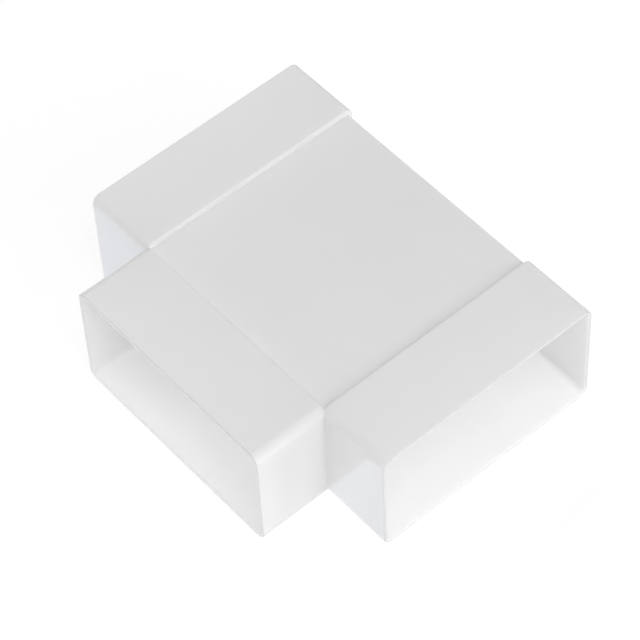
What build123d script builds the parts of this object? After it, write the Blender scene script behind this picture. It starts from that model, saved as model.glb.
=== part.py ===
from build123d import *
import os

os.makedirs("parts", exist_ok=True)

# Flat duct tee moulded in one piece, in millimetres. Three equal arms leave one crossing: the run lies
# along X and the branch points along -Y. The tee lies flat, with the origin under the middle of its box.

# Outside of the flat duct that pushes into each socket, its slip fit on every side, how far it goes in
duct_width = 110.0
duct_height = 54.0
slip = 0.2
insert_depth = 35.0

# Moulded wall, and the step from socket to body, which is the same outside and inside
wall = 1.8
step = 2.1

# Rounds: long edges of the body's bore, crown of a shoulder, outer edge of a rim, nose between two ways
bore_corner = 0.4
crown_round = 0.8
rim_round = 0.4
nose_round = 1.0

# Upright strip left between a shoulder's two rounds, its place outside the body's width, lead-in of a mouth
shoulder_flat = 0.8
shoulder_offset = 0.5
lead_in = 0.5

# Bore and outside of a socket, built out from the duct
socket_bore_width = duct_width + 2 * slip
socket_bore_height = duct_height + 2 * slip
socket_width = socket_bore_width + 2 * wall
socket_height = socket_bore_height + 2 * wall

# Outside and bore of the body, stepped in from the socket
body_width = socket_width - 2 * step
body_height = socket_height - 2 * step
body_bore_width = body_width - 2 * wall
body_bore_height = body_height - 2 * wall

# Long-edge rounds of the larger sections, concentric with the bore's
body_corner = bore_corner + wall
socket_corner = body_corner + step
socket_bore_corner = socket_corner - wall

# Places along an arm from the crossing: the three ledges stand on a square as wide as a socket
shoulder_at = body_width / 2 + shoulder_offset
ledge_at = socket_width / 2
arm_length = ledge_at + insert_depth
root_round = step - crown_round - shoulder_flat

# Where the arms cross, and the turn of each arm about the upright axis there
crossing = (0, (arm_length - socket_width / 2) / 2, socket_height / 2)
arm_turns = (0, 180, -90)
arms = [Location(crossing, (0, 0, turn)) for turn in arm_turns]

# One arm, solid: the body's section, then the larger socket, with a soft shoulder and a soft rim
with BuildPart() as arm:
    with BuildSketch(Plane.YZ):
        RectangleRounded(body_width, body_height, body_corner)
    extrude(amount=shoulder_at)
    with BuildSketch(Plane.YZ.offset(shoulder_at)):
        RectangleRounded(socket_width, socket_height, socket_corner)
    extrude(amount=arm_length - shoulder_at)
    shoulder = arm.faces().filter_by(Axis.X).sort_by(Axis.X)[1]
    fillet(shoulder.inner_wires()[0].edges(), root_round)
    shoulder = arm.faces().filter_by(Axis.X).sort_by(Axis.X)[1]
    fillet(shoulder.outer_wire().edges(), crown_round)
    rim = arm.faces().sort_by(Axis.X)[-1]
    fillet(rim.outer_wire().edges(), rim_round)

# The way through one arm: the body's bore up to the stop ledge, then the socket's bore out of the mouth
with BuildPart() as passage:
    with BuildSketch(Plane.YZ):
        RectangleRounded(body_bore_width, body_bore_height, bore_corner)
    extrude(amount=ledge_at)
    with BuildSketch(Plane.YZ.offset(ledge_at)):
        RectangleRounded(socket_bore_width, socket_bore_height, socket_bore_corner)
    extrude(amount=insert_depth)

# The tee: three arms in one solid, flat out to the corners between shoulders, then the ways cut through it
with BuildPart() as duct_tee:
    with Locations(*arms):
        add(arm.part)
    core_reach = shoulder_at + root_round
    with Locations(crossing):
        Box(2 * core_reach, core_reach, body_height, align=(Align.CENTER, Align.MAX, Align.CENTER))
    with Locations(*arms):
        add(passage.part, mode=Mode.SUBTRACT)

    # A lead-in around the inside of each mouth
    run_ends = duct_tee.faces().sort_by(Axis.X)
    branch_end = duct_tee.faces().sort_by(Axis.Y)[0]
    for mouth in (run_ends[0], run_ends[-1], branch_end):
        chamfer(mouth.inner_wires()[0].edges(), lead_in)

    # The two upright noses inside, where the branch's way leaves the run's
    nose_reach = body_bore_width / 2
    upright = duct_tee.edges().filter_by(Axis.Z)
    noses = upright.filter_by(lambda edge: abs(abs(edge.center().X) - nose_reach) < wall)
    noses = noses.filter_by(lambda edge: abs(crossing[1] - edge.center().Y - nose_reach) < wall)
    fillet(noses, nose_round)

duct_tee.part.label = "duct_tee"
export_step(duct_tee.part, "parts/duct_tee.step")
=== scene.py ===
"""Looks of a flat duct tee: a smooth skin over its solid, a glossy moulded finish, a studio and a camera."""

import logging
import math
from dataclasses import dataclass
from enum import Enum

import bpy
import numpy as np
from mathutils import Matrix, Vector

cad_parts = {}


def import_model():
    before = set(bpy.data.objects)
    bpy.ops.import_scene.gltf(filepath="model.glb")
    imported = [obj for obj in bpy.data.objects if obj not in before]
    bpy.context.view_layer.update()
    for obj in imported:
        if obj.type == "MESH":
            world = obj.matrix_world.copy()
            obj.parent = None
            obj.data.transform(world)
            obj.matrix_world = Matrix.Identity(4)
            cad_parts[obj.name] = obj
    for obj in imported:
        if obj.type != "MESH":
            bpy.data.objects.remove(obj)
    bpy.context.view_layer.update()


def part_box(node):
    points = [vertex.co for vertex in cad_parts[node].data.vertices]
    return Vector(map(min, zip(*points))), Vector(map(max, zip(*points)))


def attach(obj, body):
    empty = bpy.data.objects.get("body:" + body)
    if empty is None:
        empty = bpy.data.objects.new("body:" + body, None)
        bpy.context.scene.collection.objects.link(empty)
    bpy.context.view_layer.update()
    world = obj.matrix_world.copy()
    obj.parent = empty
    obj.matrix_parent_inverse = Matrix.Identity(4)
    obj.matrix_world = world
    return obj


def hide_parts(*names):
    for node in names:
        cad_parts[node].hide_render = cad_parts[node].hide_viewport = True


LOG = logging.getLogger("duct_tee_scene")

NODE = "duct_tee"
BODY = "root"
IMAGE_SIDE = 640
MM = 0.001

# Stretches of noise that the effects spread over 0 to 1
CLOUD_SPAN = (0.1, 0.9)
GRAIN_SPAN = (0.2, 1.3)
MARK_SPAN = (0.58, 0.82)
PATCH_SPAN = (0.45, 0.75)

# Share and fineness of the second grain, and the turn, the pull and the patches' coarseness of the rubs
FINE_SHARE = 0.5
FINE_SCALE = 3.0
RUB_TURN = (0.3, 0.5, 0.6)
RUB_PULL = (9.0, 0.7, 3.0)
PATCH_SCALE = 0.25


class Arm(Enum):
    """One of the tee's three arms: the way it points, the way its width runs, the sides that meet an arm."""

    RIGHT = ((1, 0), (0, 1), (True, False))
    LEFT = ((-1, 0), (0, -1), (False, True))
    BRANCH = ((0, -1), (1, 0), (True, True))

    @property
    def along(self) -> np.ndarray:
        """Direction from the crossing out of the mouth, in plan."""
        return np.array(self.value[0])

    @property
    def across(self) -> np.ndarray:
        """Direction of positive width, in plan."""
        return np.array(self.value[1])

    def mitred(self, width: np.ndarray) -> np.ndarray:
        """Tells where the arm runs into a neighbour.

        Args:
            width: Places across the arm, negative on its low side.

        Returns:
            True where a neighbouring arm leaves the crossing on that side.
        """
        low_side, high_side = self.value[2]
        return np.where(width < 0, low_side, high_side) & (width != 0)


@dataclass(frozen=True)
class TeeSizes:
    """Sizes of the tee in metres: the first four are read from the frame, the others are the moulding's."""

    arm_length: float
    socket_width: float
    socket_height: float
    crossing: tuple[float, float, float]
    wall: float = 1.8 * MM
    step: float = 2.1 * MM
    insert_depth: float = 35.0 * MM
    bore_corner: float = 0.4 * MM
    crown_round: float = 0.8 * MM
    rim_round: float = 0.4 * MM
    nose_round: float = 1.0 * MM
    shoulder_flat: float = 0.8 * MM
    shoulder_offset: float = 0.5 * MM
    lead_in: float = 0.5 * MM

    @classmethod
    def from_frame(cls) -> "TeeSizes":
        """Reads the arm, the socket and the crossing from the node's box, which the run fills along X.

        Returns:
            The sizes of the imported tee.
        """
        low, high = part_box(NODE)
        arm_length = (high.x - low.x) / 2
        socket_width = 2 * (high.y - low.y - arm_length)
        crossing = ((low.x + high.x) / 2, low.y + arm_length, (low.z + high.z) / 2)
        return cls(arm_length, socket_width, high.z - low.z, crossing)

    @property
    def bore_half_width(self) -> float:
        """Half the width of the body's bore."""
        return self.socket_width / 2 - self.step - self.wall

    @property
    def bore_half_height(self) -> float:
        """Half the height of the body's bore."""
        return self.socket_height / 2 - self.step - self.wall

    @property
    def root_round(self) -> float:
        """Radius at the foot of a shoulder."""
        return self.step - self.crown_round - self.shoulder_flat

    @property
    def shoulder_at(self) -> float:
        """Distance of a shoulder's upright strip from the crossing."""
        return self.bore_half_width + self.wall + self.shoulder_offset

    @property
    def ledge_at(self) -> float:
        """Distance of a stop ledge from the crossing."""
        return self.arm_length - self.insert_depth


@dataclass(frozen=True)
class WallProfile:
    """An arm's wall as one open line of points, by distance along the arm and distance out from the bore.

    The line starts at the crossing and runs along the outside, over the rim and back inside. The points from
    inside_from on lie inside the mouth, and those from nose_from on belong to the nose.
    """

    points: np.ndarray
    inside_from: int
    nose_from: int

    @property
    def rows(self) -> np.ndarray:
        """Number of every point."""
        return np.arange(len(self.points))

    @property
    def inside(self) -> np.ndarray:
        """True for every point inside the mouth."""
        return self.rows >= self.inside_from


@dataclass
class TeeSkin:
    """The tee's whole surface, inside and out, as one wall profile carried around each arm's section.

    An arm's wall is one open profile in the plane of distance along the arm and distance out from the body's
    bore. It is carried around the bore's outline, along the outline's outward normal, and cut off where it
    meets a neighbouring arm in the upright plane at 45 degrees.
    """

    sizes: TeeSizes
    arc_cuts: int = 12
    round_cuts: int = 8
    flat_cuts: int = 10
    side_cuts: int = 5
    wall_cuts: int = 4
    sharp_angle: float = math.radians(30)
    weld: float = 0.0001 * MM
    flat_weight: int = 100

    def outline(self) -> np.ndarray:
        """Works out the closed outline of the body's bore with its outward normals.

        A quarter runs up the side, round a corner whose angle goes from 0 to 90 degrees, and along the top
        to the middle. The other quarters are its mirror images, so opposite arms meet point for point.

        Returns:
            Array of points by (width, height, normal across, normal up), the first point repeated last.
        """
        s = self.sizes
        middle = np.array([s.bore_half_width, s.bore_half_height]) - s.bore_corner
        up = np.linspace(0, middle[1], self.side_cuts + 1)[:-1]
        turn = np.linspace(0, math.pi / 2, self.arc_cuts + 1)
        inwards = np.linspace(middle[0], 0, self.flat_cuts + 1)[1:]
        side = np.stack(np.broadcast_arrays(s.bore_half_width, up, 1.0, 0.0), 1)
        normal = np.stack([np.cos(turn), np.sin(turn)], 1)
        normal[0], normal[-1] = (1, 0), (0, 1)
        corner = np.hstack([middle + s.bore_corner * normal, normal])
        top = np.stack(np.broadcast_arrays(inwards, s.bore_half_height, 0.0, 1.0), 1)
        quarter = np.vstack([side, corner, top])
        flip_across, flip_up = np.array([-1, 1, -1, 1]), np.array([1, -1, 1, -1])
        upper = np.vstack([quarter, (quarter * flip_across)[-2::-1]])
        return np.vstack([upper, (upper * flip_up)[-2::-1]])

    def profile(self) -> WallProfile:
        """Works out the wall's profile.

        Straight stretches join quarter circles: the shoulder's hollow root and round crown, and the rim's
        outer edge. The lead-in is a 45 degree cut, and the stop ledge is square. The last rows before the
        crossing follow an eighth of a circle, where the nose between two ways is rounded.

        Returns:
            The profile, from the crossing out to the rim and back.
        """
        s = self.sizes
        outside = s.wall + s.step
        quarter = np.linspace(0, math.pi / 2, self.round_cuts + 1)
        sine, cosine = np.sin(quarter), np.cos(quarter)
        root = s.root_round * np.stack([sine - 1, 1 - cosine], 1) + (s.shoulder_at, s.wall)
        crown = s.crown_round * np.stack([1 - cosine, sine - 1], 1) + (s.shoulder_at, outside)
        rim = s.rim_round * np.stack([sine - 1, cosine - 1], 1) + (s.arm_length, outside)
        socket = self.stretch(crown[-1], rim[0])
        mouth = np.array([[s.arm_length, s.step + s.lead_in], [s.arm_length - s.lead_in, s.step]])
        bore = self.stretch(mouth[-1], (s.ledge_at, s.step))
        ledge = np.array([[s.ledge_at, s.step], [s.ledge_at, 0.0]])
        eighth = np.linspace(0, math.pi / 4, self.round_cuts + 1)
        nose = np.stack([s.bore_half_width + s.nose_round * (1 - np.sin(eighth)), 0 * eighth], 1)
        outer = np.vstack([[[0.0, s.wall]], root, crown, socket, rim])
        inner = np.vstack([mouth, bore, ledge, nose, [[0.0, 0.0]]])
        nose_from = len(outer) + len(mouth) + len(bore) + len(ledge)
        return WallProfile(np.vstack([outer, inner]), len(outer), nose_from)

    def stretch(self, start: np.ndarray, end: np.ndarray) -> np.ndarray:
        """Gives the evenly spaced points between two profile points.

        Args:
            start: The first point.
            end: The last point.

        Returns:
            Array of the points between, without the two themselves.
        """
        share = np.linspace(0, 1, self.wall_cuts + 1)[1:-1, None]
        return np.asarray(start) * (1 - share) + np.asarray(end) * share

    def marks(self) -> np.ndarray:
        """Marks the profile's points that lie inside the mouth, and those of the rim's edge.

        Returns:
            Array of points by (bore, rim), each 0 or 1.
        """
        profile = self.profile()
        past_rim = profile.rows - profile.inside_from
        rim = (past_rim >= -self.round_cuts) & (past_rim <= 0)
        return np.stack([profile.inside, rim], 1).astype(np.float32)

    def section(
        self, outline: np.ndarray, profile: WallProfile, meets: np.ndarray
    ) -> tuple[np.ndarray, np.ndarray]:
        """Carries the profile around the outline, before the cuts between arms.

        A point is the outline point plus its normal times the profile's distance out. Towards a neighbour
        the body's flat runs on between the two shoulders, so a column whose socket stands above that flat
        rises straight up from it, by the share of the step that the profile has reached. There the side
        walls also flare at the nose, by the radius less its height above the arc.

        Args:
            outline: The bore's outline with its normals.
            profile: The wall's profile.
            meets: True for the outline's columns that run into a neighbour.

        Returns:
            Grids of places across the arm and of heights, outline by profile.
        """
        s = self.sizes
        along, out = profile.points.T[:, None, :]
        width = outline[:, None, 0] + out * outline[:, None, 2]
        height = outline[:, None, 1] + out * outline[:, None, 3]
        wide, tall = (outline[:, :2] + (s.wall + s.step) * outline[:, 2:]).T[:, :, None]
        flat = s.bore_half_height + s.wall
        before = ~profile.inside & (along <= s.shoulder_at + s.crown_round)
        upright = meets & (np.abs(tall) > flat) & before
        risen = flat + (out - s.wall) / s.step * (np.abs(tall) - flat)
        width = np.where(upright, wide, width)
        height = np.where(upright, np.sign(tall) * risen, height)
        nose_top = s.bore_half_width + s.nose_round
        rise = np.sqrt(np.maximum(s.nose_round**2 - np.maximum(nose_top - along, 0) ** 2, 0))
        flare = np.where(profile.rows >= profile.nose_from, s.nose_round - rise, 0)
        return width + np.where(meets, flare * outline[:, None, 2], 0), height

    def trim(self, grids: np.ndarray, profile: WallProfile, meets: np.ndarray) -> np.ndarray:
        """Cuts an arm off at the upright planes at 45 degrees where its neighbours take over.

        A row that falls short of the plane slides along its own column to the place where distance along
        equals distance across: first outside, where rows grow away from the crossing, then inside.

        Args:
            grids: Outline by profile by (along, across, height, travel).
            profile: The wall's profile.
            meets: True for the outline's columns that run into a neighbour.

        Returns:
            The cut grids.
        """
        rows, count = profile.rows, len(profile.points)
        past = grids[..., 0] - np.where(meets, np.abs(grids[..., 1]), 0)
        last_short = np.where((past < 0) & ~profile.inside, rows, -1).max(1)
        first_short = np.where((past < 0) & profile.inside, rows, count).min(1)
        columns = np.arange(len(grids))
        for edge, step in ((last_short, 1), (first_short, -1)):
            cut = (edge >= 0) & (edge < count)
            at, near = columns[cut], edge[cut]
            below, above = past[at, near], past[at, near + step]
            share = (below / (below - above))[:, None]
            meet = grids[at, near] * (1 - share) + grids[at, near + step] * share
            meet[:, 0] = np.abs(meet[:, 1])
            hidden = (rows[None, :] - near[:, None]) * step <= 0
            hidden &= profile.inside == (step < 0)
            grids[at] = np.where(hidden[:, :, None], meet[:, None, :], grids[at])
        return grids

    def arm_grid(self, arm: Arm) -> tuple[np.ndarray, np.ndarray]:
        """Makes one arm's surface as a grid, outline by profile.

        Args:
            arm: The arm to make.

        Returns:
            Grid of points in the tee's frame before the crossing's shift, by XYZ, and the grid of map places,
            in metres around the section and along the profile.
        """
        outline, profile = self.outline(), self.profile()
        meets = arm.mitred(outline[:, 0])[:, None]
        width, height = self.section(outline, profile, meets)
        travel = np.broadcast_to(lengths(profile.points), width.shape)
        girth = np.broadcast_to(lengths(outline[:, :2])[:, None], width.shape)
        along = np.broadcast_to(profile.points[:, 0], width.shape)
        grids = self.trim(np.stack([along, width, height, travel], 2), profile, meets)
        plan = grids[..., 0:1] * arm.along + grids[..., 1:2] * arm.across
        points = np.concatenate([plan, grids[..., 2:3]], 2)
        return points, np.stack([girth, grids[..., 3]], 2)

    def arms(self) -> tuple[np.ndarray, np.ndarray, np.ndarray, np.ndarray]:
        """Puts the three arms' grids in one list.

        Returns:
            Points by XYZ, their map places, the corners of every four-sided face, and the points' marks.
        """
        points, places, corners, marks = [], [], [], []
        start = 0
        for arm in Arm:
            grid, place = self.arm_grid(arm)
            count, rows = grid.shape[:2]
            points.append(grid.reshape(-1, 3))
            places.append(place.reshape(-1, 2))
            corners.append(start + quads(count, rows))
            marks.append(np.tile(self.marks(), (count, 1)))
            start += count * rows
        return np.vstack(points), np.vstack(places), np.vstack(corners), np.vstack(marks)

    def mesh(self) -> bpy.types.Mesh:
        """Joins the three arms into one closed mesh.

        Corners that fall together are welded, so the arms share the points of their mitres, and a face that
        closes to a line is dropped.

        Returns:
            The mesh, with its map and its marks.
        """
        points, places, corners, marks = self.arms()
        steps = np.round(points / self.weld)
        _, first, same = np.unique(steps, axis=0, return_index=True, return_inverse=True)
        welded = same.reshape(-1)[corners]
        kept = welded != np.roll(welded, 1, 1)
        whole = kept.all(1) & (welded[:, 0] != welded[:, 2]) & (welded[:, 1] != welded[:, 3])
        bent = kept.sum(1) == 3
        triangles = welded[bent][kept[bent]].reshape(-1, 3)
        mesh = bpy.data.meshes.new("duct_tee_skin")
        place = points[first] + self.sizes.crossing
        mesh.from_pydata(place, [], welded[whole].tolist() + triangles.tolist())
        loops = np.concatenate([corners[whole].ravel(), corners[bent][kept[bent]]])
        layer = mesh.uv_layers.new(name="Around")
        layer.uv.foreach_set("vector", places[loops].astype(np.float32).ravel())
        for name, mark in zip(("bore", "rim"), marks[first].T):
            mesh.attributes.new(name, "FLOAT", "POINT").data.foreach_set("value", np.ascontiguousarray(mark))
        mesh.shade_smooth()
        mesh.set_sharp_from_angle(angle=self.sharp_angle)
        mesh.validate()
        return mesh

    def build(self) -> bpy.types.Object:
        """Makes the one piece that stands for the solid.

        Returns:
            The tee's visible piece.
        """
        piece = bpy.data.objects.new("duct_tee_skin", self.mesh())
        bpy.context.scene.collection.objects.link(piece)
        even = piece.modifiers.new("Even flats", "WEIGHTED_NORMAL")
        even.keep_sharp = True
        even.weight = self.flat_weight
        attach(piece, BODY)
        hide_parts(NODE)
        return piece

    def dress(self, piece: bpy.types.Object, finish: "MouldedPlastic") -> None:
        """Gives the piece its finish.

        Args:
            piece: The tee's visible piece.
            finish: The finish to lay on it.
        """
        piece.data.materials.append(finish.build())


class Nodes:
    """A node tree with short ways to add, set and join nodes."""

    def __init__(self, tree: bpy.types.NodeTree) -> None:
        """Takes over a tree.

        Args:
            tree: The tree to fill.
        """
        self.tree = tree

    def add(self, kind: str, **settings: object) -> bpy.types.Node:
        """Adds a node, sets its properties and fills its inputs.

        Args:
            kind: The node's type, without its ShaderNode prefix.
            **settings: Node properties, or inputs by their name with spaces as underscores.

        Returns:
            The new node.
        """
        prefix = "" if kind.startswith("NodeGroup") else "ShaderNode"
        node = self.tree.nodes.new(prefix + kind)
        for name, value in settings.items():
            self.put(node, name, value)
        return node

    def put(self, node: bpy.types.Node, name: str, value: object) -> None:
        """Sets one property or input of a node, or links a socket to the input.

        Args:
            node: The node to set.
            name: The property's name, or the input's with spaces as underscores.
            value: The value, or the socket to link.
        """
        label = name.replace("_", " ")
        if hasattr(node, name):
            setattr(node, name, value)
        elif isinstance(value, bpy.types.NodeSocket):
            self.tree.links.new(value, node.inputs[label])
        else:
            node.inputs[label].default_value = value

    def math(self, operation: str, first: object, second: object) -> bpy.types.NodeSocket:
        """Works out one value from two.

        Args:
            operation: What is done with the two, as a Math node names it.
            first: The first value or socket.
            second: The second value or socket.

        Returns:
            The result.
        """
        node = self.tree.nodes.new("ShaderNodeMath")
        node.operation = operation
        for socket, value in zip(node.inputs, (first, second)):
            if isinstance(value, bpy.types.NodeSocket):
                self.tree.links.new(value, socket)
            else:
                socket.default_value = value
        return node.outputs[0]

    def scaled(self, vector: object, scale: object) -> bpy.types.NodeSocket:
        """Multiplies a vector or a colour by a value."""
        return self.add("VectorMath", operation="SCALE", Vector=vector, Scale=scale).outputs[0]

    def effect(self, group: bpy.types.NodeTree, **settings: object) -> bpy.types.NodeSocket:
        """Adds a shared effect and returns its first result.

        Args:
            group: The effect's node group.
            **settings: The effect's inputs, by their name.

        Returns:
            The effect's first output.
        """
        node = self.tree.nodes.new("ShaderNodeGroup")
        node.node_tree = group
        for name, value in settings.items():
            self.put(node, name, value)
        return node.outputs[0]


class Effect(Enum):
    """The shared surface effects, each a node group with one value from 0 to 1 as its result."""

    MOTTLE = ("soft_mottle", ("Size",))
    GRAIN = ("fine_grain", ("Size",))
    STREAKS = ("drawn_streaks", ("Width", "Length"))
    RUBS = ("light_rubs", ("Size",))

    def group(self) -> bpy.types.NodeTree:
        """Finds the effect's node group, or makes it the first time.

        Returns:
            The node group.
        """
        name, inputs = self.value
        made = bpy.data.node_groups.get(name)
        if made:
            return made
        tree = bpy.data.node_groups.new(name, "ShaderNodeTree")
        tree.interface.new_socket("Vector", in_out="INPUT", socket_type="NodeSocketVector")
        for label in inputs:
            tree.interface.new_socket(label, in_out="INPUT", socket_type="NodeSocketFloat")
        tree.interface.new_socket("Value", in_out="OUTPUT", socket_type="NodeSocketFloat")
        nodes = Nodes(tree)
        given = nodes.add("NodeGroupInput").outputs
        makers = {
            Effect.MOTTLE: self.mottle,
            Effect.GRAIN: self.grain,
            Effect.STREAKS: self.streaks,
            Effect.RUBS: self.rubs,
        }
        value = makers[self](nodes, given)
        tree.links.new(value, nodes.add("NodeGroupOutput").inputs["Value"])
        return tree

    @staticmethod
    def sized(nodes: Nodes, place: object, size: object) -> bpy.types.NodeSocket:
        """Divides a place by a size, so that one unit is one feature.

        Args:
            nodes: The effect's tree.
            place: The place, in metres.
            size: The size of a feature, in metres.

        Returns:
            The place in features.
        """
        scale = nodes.math("DIVIDE", 1.0, size)
        return nodes.scaled(place, scale)

    @staticmethod
    def spread(nodes: Nodes, value: object, low: float, high: float) -> bpy.types.NodeSocket:
        """Stretches a span of values over 0 to 1, with soft ends and the rest kept at them.

        Args:
            nodes: The tree to add to.
            value: The value to stretch.
            low: The value that becomes 0.
            high: The value that becomes 1.

        Returns:
            The stretched value.
        """
        soft = nodes.add("MapRange", interpolation_type="SMOOTHSTEP", Value=value)
        nodes.put(soft, "From_Min", low)
        nodes.put(soft, "From_Max", high)
        return soft.outputs[0]

    def mottle(self, nodes: Nodes, given: object) -> bpy.types.NodeSocket:
        """Makes soft clouds of a size.

        Args:
            nodes: The effect's tree.
            given: The effect's inputs.

        Returns:
            The effect's value, from 0 to 1.
        """
        place = self.sized(nodes, given["Vector"], given["Size"])
        cloud = nodes.add("TexNoise", Vector=place, Scale=1.0, Detail=3.0, Roughness=0.5)
        return self.spread(nodes, cloud.outputs[0], *CLOUD_SPAN)

    def grain(self, nodes: Nodes, given: object) -> bpy.types.NodeSocket:
        """Makes an even grain of two sizes, the second a third of the first.

        Args:
            nodes: The effect's tree.
            given: The effect's inputs.

        Returns:
            The effect's value, from 0 to 1.
        """
        place = self.sized(nodes, given["Vector"], given["Size"])
        coarse = nodes.add("TexNoise", Vector=place, Scale=1.0, Detail=1.0).outputs[0]
        fine = nodes.add("TexNoise", Vector=place, Scale=FINE_SCALE, Detail=1.0).outputs[0]
        both = nodes.math("ADD", coarse, nodes.math("MULTIPLY", fine, FINE_SHARE))
        return self.spread(nodes, both, *GRAIN_SPAN)

    def streaks(self, nodes: Nodes, given: object) -> bpy.types.NodeSocket:
        """Makes faint lines that run along the second map direction.

        Args:
            nodes: The effect's tree.
            given: The effect's inputs.

        Returns:
            The effect's value, from 0 to 1.
        """
        split = nodes.add("SeparateXYZ", Vector=given["Vector"])
        across = nodes.math("DIVIDE", split.outputs[0], given["Width"])
        along = nodes.math("DIVIDE", split.outputs[1], given["Length"])
        place = nodes.add("CombineXYZ", X=across, Y=along).outputs[0]
        lines = nodes.add("TexNoise", Vector=place, Scale=1.0, Detail=2.0, Roughness=0.6)
        return self.spread(nodes, lines.outputs[0], *CLOUD_SPAN)

    def rubs(self, nodes: Nodes, given: object) -> bpy.types.NodeSocket:
        """Makes sparse short rubs, in patches, from clouds pulled long and slanting.

        Args:
            nodes: The effect's tree.
            given: The effect's inputs.

        Returns:
            The effect's value, from 0 to 1.
        """
        place = self.sized(nodes, given["Vector"], given["Size"])
        slant = nodes.add("Mapping", Vector=place, Rotation=RUB_TURN, Scale=RUB_PULL)
        marks = nodes.add("TexNoise", Vector=slant.outputs[0], Scale=1.0, Detail=2.0, Distortion=0.4)
        patches = nodes.add("TexNoise", Vector=place, Scale=PATCH_SCALE, Detail=1.0)
        sparse = self.spread(nodes, marks.outputs[0], *MARK_SPAN)
        return nodes.math("MULTIPLY", sparse, self.spread(nodes, patches.outputs[0], *PATCH_SPAN))


@dataclass(frozen=True)
class MouldedPlastic:
    """Glossy white plastic from a polished mould: fine grain, slight waviness, faint rubs and a mottled tint.

    Light soaks into the thin wall and comes out again a few millimetres away, which softens the edges and
    lights the bore through the wall.
    """

    name: str = "glossy_white_moulding"
    colour: tuple[float, float, float] = (0.91, 0.91, 0.91)
    tint_swing: float = 0.012
    tint_warmth: tuple[float, float, float] = (1.0, 1.1, 1.5)
    # Painted light in the bore and painted shade on the rims' edges, both put into the colour
    bore_painted_light: float = 0.06
    rim_painted_shade: float = 0.2
    soak: float = 4.0 * MM
    bore_soak: float = 9.0 * MM
    soaked: float = 0.6
    ior: float = 1.53
    roughness: float = 0.11
    cloud_dull: float = 0.04
    rub_dull: float = 0.08
    draw_dull: float = 0.03
    rim_rough: float = 0.2
    cloud_size: float = 45.0 * MM
    wave_size: float = 24.0 * MM
    wave_height: float = 0.012 * MM
    grain_size: float = 0.35 * MM
    grain_height: float = 0.003 * MM
    draw_width: float = 0.7 * MM
    draw_length: float = 35.0 * MM
    draw_height: float = 0.0004 * MM
    rub_size: float = 7.0 * MM

    def build(self) -> bpy.types.Material:
        """Makes the finish.

        Returns:
            The material.
        """
        material = bpy.data.materials.new(self.name)
        material.use_nodes = True
        nodes = Nodes(material.node_tree)
        shader = nodes.tree.nodes["Principled BSDF"]
        place = nodes.add("TexCoord").outputs["Object"]
        around = nodes.add("UVMap", uv_map="Around").outputs["UV"]
        inside = nodes.add("Attribute", attribute_name="bore").outputs["Fac"]
        rim = nodes.add("Attribute", attribute_name="rim").outputs["Fac"]
        cloud = nodes.effect(Effect.MOTTLE.group(), Vector=place, Size=self.cloud_size)
        wave = nodes.effect(Effect.MOTTLE.group(), Vector=place, Size=self.wave_size)
        grain = nodes.effect(Effect.GRAIN.group(), Vector=place, Size=self.grain_size)
        rubs = nodes.effect(Effect.RUBS.group(), Vector=place, Size=self.rub_size)
        lines = nodes.effect(
            Effect.STREAKS.group(), Vector=around, Width=self.draw_width, Length=self.draw_length
        )
        drawn = nodes.math("MULTIPLY", lines, inside)
        nodes.put(shader, "Base_Color", self.tinted(nodes, cloud, inside, rim))
        nodes.put(shader, "Roughness", self.dulled(nodes, cloud, rubs, drawn, rim))
        nodes.put(shader, "Normal", self.relief(nodes, wave, grain, drawn))
        nodes.put(shader, "IOR", self.ior)
        deeper = nodes.math("MULTIPLY", inside, 1 - self.soaked)
        nodes.put(shader, "Subsurface_Weight", nodes.math("ADD", deeper, self.soaked))
        nodes.put(shader, "Subsurface_Radius", (1.0, 1.0, 1.0))
        longer = nodes.math("MULTIPLY", inside, self.bore_soak - self.soak)
        nodes.put(shader, "Subsurface_Scale", nodes.math("ADD", longer, self.soak))
        LOG.info("finish %s has %d nodes", self.name, len(nodes.tree.nodes))
        return material

    def tinted(self, nodes: Nodes, cloud: object, inside: object, rim: object) -> bpy.types.NodeSocket:
        """Swings the colour a little, a touch warmer where it is darker, with painted light that makes the
        bore paler and painted shade that makes the rims greyer.

        Args:
            nodes: The finish's tree.
            cloud: Soft clouds from 0 to 1.
            inside: 1 in the bore.
            rim: 1 on a rim's edge.

        Returns:
            The colour.
        """
        ramp = nodes.add("ValToRGB", Fac=cloud)
        colour = np.array(self.colour)
        dark, pale = ramp.color_ramp.elements
        dark.color = (*(colour * (1 - np.array(self.tint_warmth) * self.tint_swing)), 1.0)
        pale.color = (*(colour * (1 + self.tint_swing)), 1.0)
        # Painted light: a paler colour in the bore; painted shade: a greyer colour on the rims' edges
        paler = nodes.math("ADD", 1.0, nodes.math("MULTIPLY", inside, self.bore_painted_light))
        shade = nodes.math("SUBTRACT", paler, nodes.math("MULTIPLY", rim, self.rim_painted_shade))
        return nodes.scaled(ramp.outputs["Color"], shade)

    def dulled(
        self, nodes: Nodes, cloud: object, rubs: object, drawn: object, rim: object
    ) -> bpy.types.NodeSocket:
        """Adds clouds, rubs, the bore's drawn lines and the trimmed rims to the roughness.

        Args:
            nodes: The finish's tree.
            cloud: Soft clouds from 0 to 1.
            rubs: Sparse rubs from 0 to 1.
            drawn: Drawn lines in the bore from 0 to 1.
            rim: 1 on a rim's edge.

        Returns:
            The roughness.
        """
        least = self.roughness - self.cloud_dull / 2
        clouded = nodes.math("ADD", least, nodes.math("MULTIPLY", cloud, self.cloud_dull))
        rubbed = nodes.math("ADD", clouded, nodes.math("MULTIPLY", rubs, self.rub_dull))
        lined = nodes.math("ADD", rubbed, nodes.math("MULTIPLY", drawn, self.draw_dull))
        return nodes.math("ADD", lined, nodes.math("MULTIPLY", rim, self.rim_rough))

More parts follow.
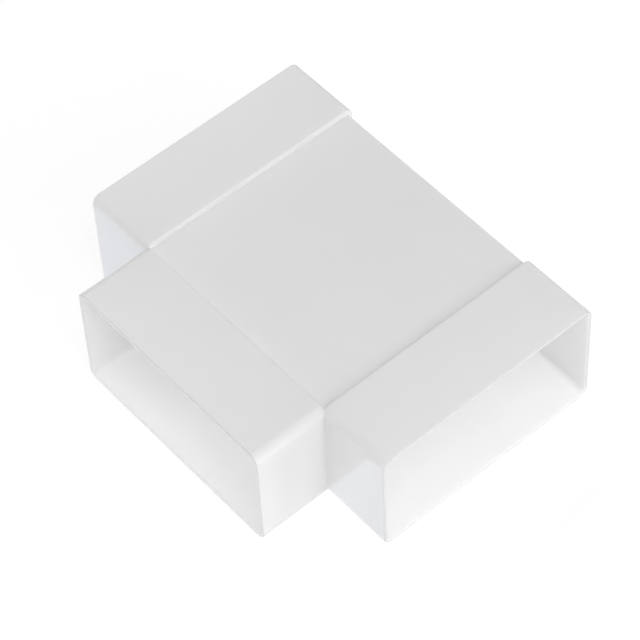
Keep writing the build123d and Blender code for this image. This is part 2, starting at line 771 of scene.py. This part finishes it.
    def relief(self, nodes: Nodes, wave: object, grain: object, drawn: object) -> bpy.types.NodeSocket:
        """Stacks the waviness, the grain and the drawn lines as relief of real height.

        Args:
            nodes: The finish's tree.
            wave: Soft waves from 0 to 1.
            grain: Fine grain from 0 to 1.
            drawn: Drawn lines in the bore from 0 to 1.

        Returns:
            The normal.
        """
        waved = nodes.add("Bump", Strength=1.0, Distance=self.wave_height, Height=wave)
        grained = nodes.add(
            "Bump", Strength=1.0, Distance=self.grain_height, Height=grain, Normal=waved.outputs[0]
        )
        lined = nodes.add(
            "Bump", Strength=1.0, Distance=self.draw_height, Height=drawn, Normal=grained.outputs[0]
        )
        return lined.outputs[0]


@dataclass(frozen=True)
class GlowingPaper:
    """The floor's finish: paper over an even glow, which shows white and lights the tee from below.

    The strength of the glow depends on the kind of ray that meets the floor, and the paper keeps a faint
    shadow. A bluish sheen, a painted reflection, shows only in mirroring walls, and only from one side.
    """

    name: str = "studio_paper"
    colour: tuple[float, float, float] = (0.90, 0.90, 0.90)
    grain_size: float = 0.5 * MM
    cloud_size: float = 80.0 * MM
    shade_swing: float = 0.01
    glow_share: float = 0.7
    seen_glow: float = 1.15
    mirrored_glow: float = 0.4
    lighting_glow: float = 1.15
    # Painted reflection: a bluish glow that only mirrored rays see, from one side
    sheen: float = 0.9
    sheen_tint: tuple[float, float, float] = (0.80, 0.84, 1.0)
    sheen_azimuth: float = 128.0
    sheen_full: float = 0.5

    def build(self) -> bpy.types.Material:
        """Makes the finish.

        Returns:
            The material.
        """
        material = bpy.data.materials.new(self.name)
        material.use_nodes = True
        tree = material.node_tree
        tree.nodes.clear()
        nodes = Nodes(tree)
        paper = nodes.add("BsdfDiffuse", Color=self.shaded(nodes))
        strength = by_ray(nodes, self.seen_glow, self.mirrored_glow, self.lighting_glow)
        glow = nodes.add("Emission", Strength=strength)
        mix = nodes.add("MixShader", Fac=self.glow_share)
        tree.links.new(paper.outputs[0], mix.inputs[1])
        tree.links.new(glow.outputs[0], mix.inputs[2])
        both = nodes.add("AddShader")
        tree.links.new(mix.outputs[0], both.inputs[0])
        tree.links.new(self.painted_reflection(nodes).outputs[0], both.inputs[1])
        out = nodes.add("OutputMaterial")
        tree.links.new(both.outputs[0], out.inputs["Surface"])
        return material

    def shaded(self, nodes: Nodes) -> bpy.types.NodeSocket:
        """Darkens the paper's colour a little by its fibres and soft clouds.

        Args:
            nodes: The finish's tree.

        Returns:
            The colour.
        """
        place = nodes.add("TexCoord").outputs["Object"]
        fibres = nodes.effect(Effect.GRAIN.group(), Vector=place, Size=self.grain_size)
        cloud = nodes.effect(Effect.MOTTLE.group(), Vector=place, Size=self.cloud_size)
        swing = nodes.math("MULTIPLY", nodes.math("ADD", fibres, cloud), self.shade_swing)
        shade = nodes.math("SUBTRACT", 1.0, swing)
        return nodes.scaled(self.colour, shade)

    def painted_reflection(self, nodes: Nodes) -> bpy.types.Node:
        """Makes the sheen, a painted reflection seen only in mirrored rays, stronger the more a mirrored ray
        comes from the sheen's azimuth.

        Args:
            nodes: The finish's tree.

        Returns:
            The sheen's shader.
        """
        incoming = nodes.add("NewGeometry").outputs["Incoming"]
        side = nodes.add("VectorMath", operation="DOT_PRODUCT", Vector=incoming)
        side.inputs[1].default_value = direction(self.sheen_azimuth, 0.0)
        facing = Effect.spread(nodes, side.outputs["Value"], 0.0, self.sheen_full)
        strength = nodes.math("MULTIPLY", nodes.math("MULTIPLY", facing, sent_on(nodes)), self.sheen)
        return nodes.add("Emission", Color=(*self.sheen_tint, 1.0), Strength=strength)


@dataclass(frozen=True)
class Lamp:
    """A soft square lamp aimed at the tee from an azimuth, counted from the branch's side towards +X."""

    name: str
    azimuth: float
    elevation: float
    power: float
    side: float
    distance: float

    def build(self, target: Vector) -> bpy.types.Object:
        """Places the lamp.

        Args:
            target: The point it is aimed at.

        Returns:
            The lamp's object.
        """
        light = bpy.data.lights.new(self.name, "AREA")
        light.energy = self.power
        light.shape = "SQUARE"
        light.size = self.side
        lamp = bpy.data.objects.new(self.name, light)
        away = direction(self.azimuth, self.elevation)
        lamp.location = target + self.distance * away
        lamp.rotation_mode = "QUATERNION"
        lamp.rotation_quaternion = (-away).to_track_quat("-Z", "Y")
        lamp.visible_camera = lamp.visible_glossy = False
        bpy.context.scene.collection.objects.link(lamp)
        return lamp


@dataclass
class Studio:
    """Pale floor, white surroundings and lamps, with sizes in metres and powers in watts."""

    floor_side: float = 12.0
    floor_cuts: int = 8
    floor_drop: float = 0.2 * MM
    paper: GlowingPaper = GlowingPaper()
    sky_seen: float = 1.0
    sky_mirrored: float = 0.5
    sky_lighting: float = 0.16
    lamps: tuple[Lamp, ...] = (
        Lamp("right_high", 60, 60, 25.0, 1.8, 3.2),
        Lamp("right_top", 90, 70, 12.0, 1.8, 3.2),
        Lamp("right_side", 90, 30, 27.2, 1.8, 3.2),
        Lamp("right_back", 130, 5, 11.7, 0.9, 2.0),
        Lamp("left_back", 240, 40, 4.2, 0.9, 2.0),
        Lamp("left_front", 300, 40, 6.9, 0.9, 2.0),
    )

    def build_floor(self) -> bpy.types.Object:
        """Lays a wide pale floor just under the tee, an even grid of points on one level plane.

        Returns:
            The floor's object.
        """
        reach = np.linspace(-1, 1, self.floor_cuts + 1) * self.floor_side / 2
        across, deep = np.meshgrid(reach, reach, indexing="ij")
        points = np.stack([across, deep, np.full_like(across, -self.floor_drop)], 2).reshape(-1, 3)
        mesh = bpy.data.meshes.new("studio_floor")
        mesh.from_pydata(points, [], quads(*across.shape).tolist())
        mesh.materials.append(self.paper.build())
        floor = bpy.data.objects.new("studio_floor", mesh)
        bpy.context.scene.collection.objects.link(floor)
        return floor

    def build_sky(self) -> None:
        """Surrounds the scene with white where it is seen and with soft light elsewhere."""
        world = bpy.data.worlds.new("studio_surround")
        world.use_nodes = True
        bpy.context.scene.world = world
        tree = world.node_tree
        strength = by_ray(Nodes(tree), self.sky_seen, self.sky_mirrored, self.sky_lighting)
        tree.links.new(strength, tree.nodes["Background"].inputs["Strength"])
        tree.nodes["Background"].inputs["Color"].default_value = (1.0, 1.0, 1.0, 1.0)

    def build_lamps(self, target: Vector) -> None:
        """Hangs every lamp.

        Args:
            target: The point that the lamps are aimed at.
        """
        for lamp in self.lamps:
            lamp.build(target)
            LOG.info("lamp %s at azimuth %.0f, elevation %.0f", lamp.name, lamp.azimuth, lamp.elevation)


@dataclass(frozen=True)
class Viewpoint:
    """The camera: its place, the middle of its picture, its roll and its focal length in pixels."""

    place: tuple[float, float, float] = (582.73 * MM, -453.86 * MM, 1002.74 * MM)
    target: tuple[float, float, float] = (4.37 * MM, 2.92 * MM, 29.0 * MM)
    roll: float = math.radians(-3.317)
    focal_pixels: float = 2918.4
    sensor: float = 36.0
    nearest: float = 0.05
    furthest: float = 50.0

    def build(self) -> bpy.types.Object:
        """Sets up the camera.

        Returns:
            The camera's object, made the scene's camera.
        """
        camera = bpy.data.cameras.new("viewpoint")
        camera.sensor_width = self.sensor
        camera.lens = self.focal_pixels / IMAGE_SIDE * self.sensor
        camera.clip_start, camera.clip_end = self.nearest, self.furthest
        holder = bpy.data.objects.new("viewpoint", camera)
        look = Vector(self.target) - Vector(self.place)
        level = look.to_track_quat("-Z", "Y").to_matrix().to_4x4()
        turn = Matrix.Rotation(self.roll, 4, "Z")
        holder.matrix_world = Matrix.Translation(self.place) @ level @ turn
        bpy.context.scene.collection.objects.link(holder)
        bpy.context.scene.camera = holder
        return holder


def quads(count: int, rows: int) -> np.ndarray:
    """Numbers the corners of every cell in a grid of points.

    Args:
        count: Number of the grid's columns.
        rows: Number of points in a column.

    Returns:
        Array of cells by four corners.
    """
    index = np.arange(count * rows).reshape(count, rows)
    cells = np.stack([index[:-1, :-1], index[1:, :-1], index[1:, 1:], index[:-1, 1:]], 2)
    return cells.reshape(-1, 4)


def lengths(line: np.ndarray) -> np.ndarray:
    """Measures how far along a line each of its points lies.

    Args:
        line: Array of points by two coordinates.

    Returns:
        Distance of each point from the first.
    """
    return np.concatenate([[0], np.cumsum(np.hypot(*np.diff(line, axis=0).T))])


def direction(azimuth: float, elevation: float) -> Vector:
    """Points away from the tee.

    Args:
        azimuth: Degrees from -Y towards +X.
        elevation: Degrees above the floor.

    Returns:
        The unit vector.
    """
    turn, rise = math.radians(azimuth), math.radians(elevation)
    return Vector((math.sin(turn) * math.cos(rise), -math.cos(turn) * math.cos(rise), math.sin(rise)))


def sent_on(nodes: Nodes) -> bpy.types.NodeSocket:
    """Tells rays that were mirrored or let through, as 1, from all others, as 0."""
    path = nodes.add("LightPath")
    return nodes.math("MAXIMUM", path.outputs["Is Glossy Ray"], path.outputs["Is Transmission Ray"])


def by_ray(nodes: Nodes, seen: float, mirrored: float, lighting: float) -> bpy.types.NodeSocket:
    """Chooses a strength by the kind of ray that meets a surface.

    Args:
        nodes: The tree to add to.
        seen: Strength for rays from the camera.
        mirrored: Strength for rays that were mirrored or let through.
        lighting: Strength for all other rays, which light the scene.

    Returns:
        The strength.
    """
    seen_rays = nodes.add("LightPath").outputs["Is Camera Ray"]
    from_camera = nodes.math("MULTIPLY", seen_rays, seen - lighting)
    from_mirror = nodes.math("MULTIPLY", sent_on(nodes), mirrored - lighting)
    return nodes.math("ADD", nodes.math("ADD", from_camera, from_mirror), lighting)


def main() -> None:
    """Builds the tee's skin, its finish, the studio and the camera, and notes how many faces the piece has.
    """
    logging.basicConfig(level=logging.INFO, format="%(name)s: %(message)s")
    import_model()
    sizes = TeeSizes.from_frame()
    skin = TeeSkin(sizes)
    piece = skin.build()
    skin.dress(piece, MouldedPlastic())
    LOG.info("piece %s has %d faces", piece.name, len(piece.data.polygons))
    studio = Studio()
    studio.build_floor()
    studio.build_sky()
    studio.build_lamps(Vector(sizes.crossing))
    Viewpoint().build()
    bpy.context.scene.view_settings.view_transform = "Standard"
    bpy.context.view_layer.update()


if __name__ == "__main__":
    main()
